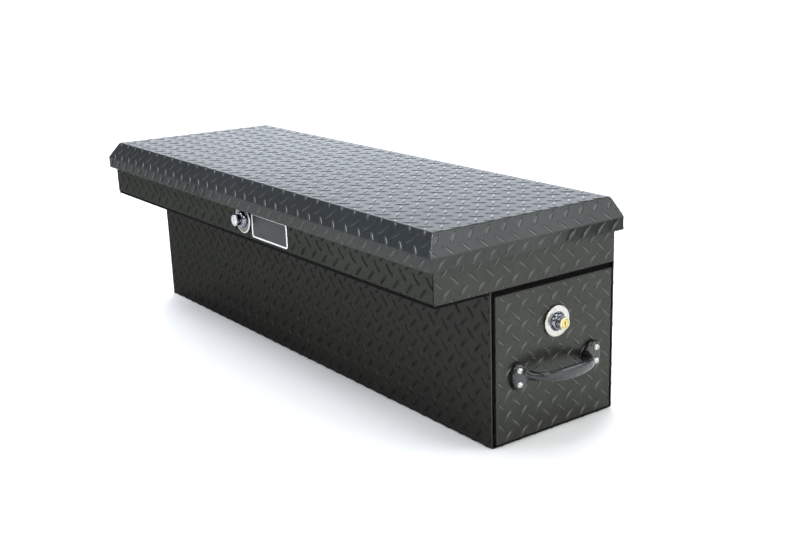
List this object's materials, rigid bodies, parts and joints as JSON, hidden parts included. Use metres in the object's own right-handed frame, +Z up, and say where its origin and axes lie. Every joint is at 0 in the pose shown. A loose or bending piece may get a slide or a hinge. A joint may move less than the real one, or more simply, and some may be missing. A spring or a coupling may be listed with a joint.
{
  "type": "truck tool box",
  "caption": "Side-mount truck tool box in black tread plate: a shallow top tub with a hinged, chamfered lid overhangs a narrower lower body whose long drawer opens at one end.",
  "frame": {"origin": "middle of the lower body's underside", "axes": "+X along the box towards the drawer end, -Y towards the front (the overhang and the lid lock), +Z up"},
  "size_m": [1.2375, 0.4152, 0.375],
  "materials": {
    "tread_plate_coat": "black powder coat over raised tread-plate lugs, satin",
    "hinge_coat": "black powder coat, satin",
    "bare_sheet": "mill finish, lightly brushed",
    "seal_rubber": "matt black bulb seal",
    "rail_foam": "matt black closed-cell foam",
    "zinc_steel": "bright zinc plate",
    "lock_stainless": "polished stainless with fine turning marks",
    "chrome": "bright chrome",
    "key_brass": "turned brass with a keyway",
    "handle_enamel": "gloss black enamel",
    "strut_paint": "satin black",
    "plate_metal": "dark anodised plain plate with a bare rim"
  },
  "bodies": {
    "box": {"lower_wrap": "tread_plate_coat", "lower_end_panel": "tread_plate_coat", "opening_frame": "bare_sheet", "drawer_seal": "seal_rubber", "tub_wrap": "tread_plate_coat", "tub_end_left": "tread_plate_coat", "tub_end_right": "tread_plate_coat", "lid_seal": "seal_rubber", "rail_gasket": "rail_foam", "nameplate": "plate_metal", "hinge_leaf_tub": "hinge_coat", "hinge_pin": "zinc_steel", "strut_bracket_tub_left": "zinc_steel", "strut_bracket_tub_right": "zinc_steel", "lid_lock_escutcheon": "lock_stainless", "lid_lock_barrel": "zinc_steel", "lid_lock_nut": "zinc_steel", "latch_bracket": "zinc_steel", "latch_pivot_pin": "zinc_steel", "drawer_keeper": "zinc_steel", "slide_outer_front": "zinc_steel", "slide_outer_rear": "zinc_steel"},
    "lid": {"lid_skin": "tread_plate_coat", "lid_liner": "bare_sheet", "lid_striker": "zinc_steel", "strut_bracket_lid_left": "zinc_steel", "strut_bracket_lid_right": "zinc_steel", "hinge_leaf_lid": "hinge_coat"},
    "strut_tube_left": {"strut_cylinder_left": "strut_paint"},
    "strut_tube_right": {"strut_cylinder_right": "strut_paint"},
    "strut_shaft_left": {"strut_rod_left": "chrome"},
    "strut_shaft_right": {"strut_rod_right": "chrome"},
    "lid_button": {"lid_lock_button": "chrome"},
    "lid_key": {"lid_lock_key_core": "key_brass"},
    "hook": {"latch_hook": "zinc_steel"},
    "drawer": {"drawer_front": "tread_plate_coat", "drawer_tray": "bare_sheet", "drawer_handle": "handle_enamel", "handle_screw_1": "zinc_steel", "handle_screw_2": "zinc_steel", "handle_screw_3": "zinc_steel", "handle_screw_4": "zinc_steel", "drawer_lock_escutcheon": "lock_stainless", "drawer_lock_barrel": "zinc_steel", "drawer_lock_nut": "zinc_steel", "drawer_latch_guide": "zinc_steel", "slide_inner_front": "zinc_steel", "slide_inner_rear": "zinc_steel"},
    "drawer_button": {"drawer_lock_button": "chrome"},
    "drawer_key": {"drawer_lock_key_core": "key_brass"},
    "bolt": {"drawer_latch_bolt": "zinc_steel"},
    "slide_middle_front": {"slide_mid_front": "zinc_steel"},
    "slide_middle_rear": {"slide_mid_rear": "zinc_steel"}
  },
  "joints": [
    {"name": "lid_hinge", "type": "hinge", "parent": "box", "child": "lid", "pos_m": [0, 0.1425, 0.313], "axis": [-1, 0, 0], "range_deg": [0, 75]},
    {"name": "drawer_slide", "type": "slide", "parent": "box", "child": "drawer", "axis": [1, 0, 0], "range_m": [0, 0.8]},
    {"name": "strut_pivot_left", "type": "hinge", "parent": "box", "child": "strut_tube_left", "pos_m": [-0.565, 0.112, 0.278], "axis": [-1, 0, 0], "range_deg": [0, 71.51]},
    {"name": "strut_stroke_left", "type": "slide", "parent": "strut_tube_left", "child": "strut_shaft_left", "axis": [0, -0.9442, 0.3294], "range_m": [0, 0.05512]},
    {"name": "strut_pivot_right", "type": "hinge", "parent": "box", "child": "strut_tube_right", "pos_m": [0.565, 0.112, 0.278], "axis": [-1, 0, 0], "range_deg": [0, 71.51]},
    {"name": "strut_stroke_right", "type": "slide", "parent": "strut_tube_right", "child": "strut_shaft_right", "axis": [0, -0.9442, 0.3294], "range_m": [0, 0.05512]},
    {"name": "lid_button_press", "type": "slide", "parent": "box", "child": "lid_button", "axis": [0, 1, 0], "range_m": [0, 0.006], "stiffness_N_per_m": 400, "springref_m": -0.004},
    {"name": "lid_key_turn", "type": "hinge", "parent": "lid_button", "child": "lid_key", "pos_m": [0.007, -0.2664, 0.3], "axis": [0, -1, 0], "range_deg": [0, 90]},
    {"name": "hook_release", "type": "hinge", "parent": "box", "child": "hook", "pos_m": [0.007, -0.206, 0.322], "axis": [1, 0, 0], "range_deg": [0, 14.5]},
    {"name": "drawer_button_press", "type": "slide", "parent": "drawer", "child": "drawer_button", "axis": [-1, 0, 0], "range_m": [0, 0.006], "stiffness_N_per_m": 400, "springref_m": -0.004},
    {"name": "drawer_key_turn", "type": "hinge", "parent": "drawer_button", "child": "drawer_key", "pos_m": [0.6114, 0, 0.19], "axis": [1, 0, 0], "range_deg": [0, 90]},
    {"name": "bolt_release", "type": "slide", "parent": "drawer", "child": "bolt", "axis": [0, 0, -1], "range_m": [0, 0.0101]},
    {"name": "slide_stage_front", "type": "slide", "parent": "box", "child": "slide_middle_front", "axis": [1, 0, 0], "range_m": [0, 0.4005]},
    {"name": "slide_stage_rear", "type": "slide", "parent": "box", "child": "slide_middle_rear", "axis": [1, 0, 0], "range_m": [0, 0.4005]}
  ],
  "couplings": [
    {"joint": "strut_pivot_left", "follows": "lid_hinge", "ratio": 0.9508},
    {"joint": "strut_stroke_left", "follows": "lid_hinge", "m_per_rad": 0.041953},
    {"joint": "strut_pivot_right", "follows": "lid_hinge", "ratio": 0.9508},
    {"joint": "strut_stroke_right", "follows": "lid_hinge", "m_per_rad": 0.041953},
    {"joint": "hook_release", "follows": "lid_button_press", "rad_per_m": 41.7},
    {"joint": "bolt_release", "follows": "drawer_button_press", "ratio": 1.6667},
    {"joint": "slide_stage_front", "follows": "drawer_slide", "ratio": 0.5},
    {"joint": "slide_stage_rear", "follows": "drawer_slide", "ratio": 0.5}
  ]
}
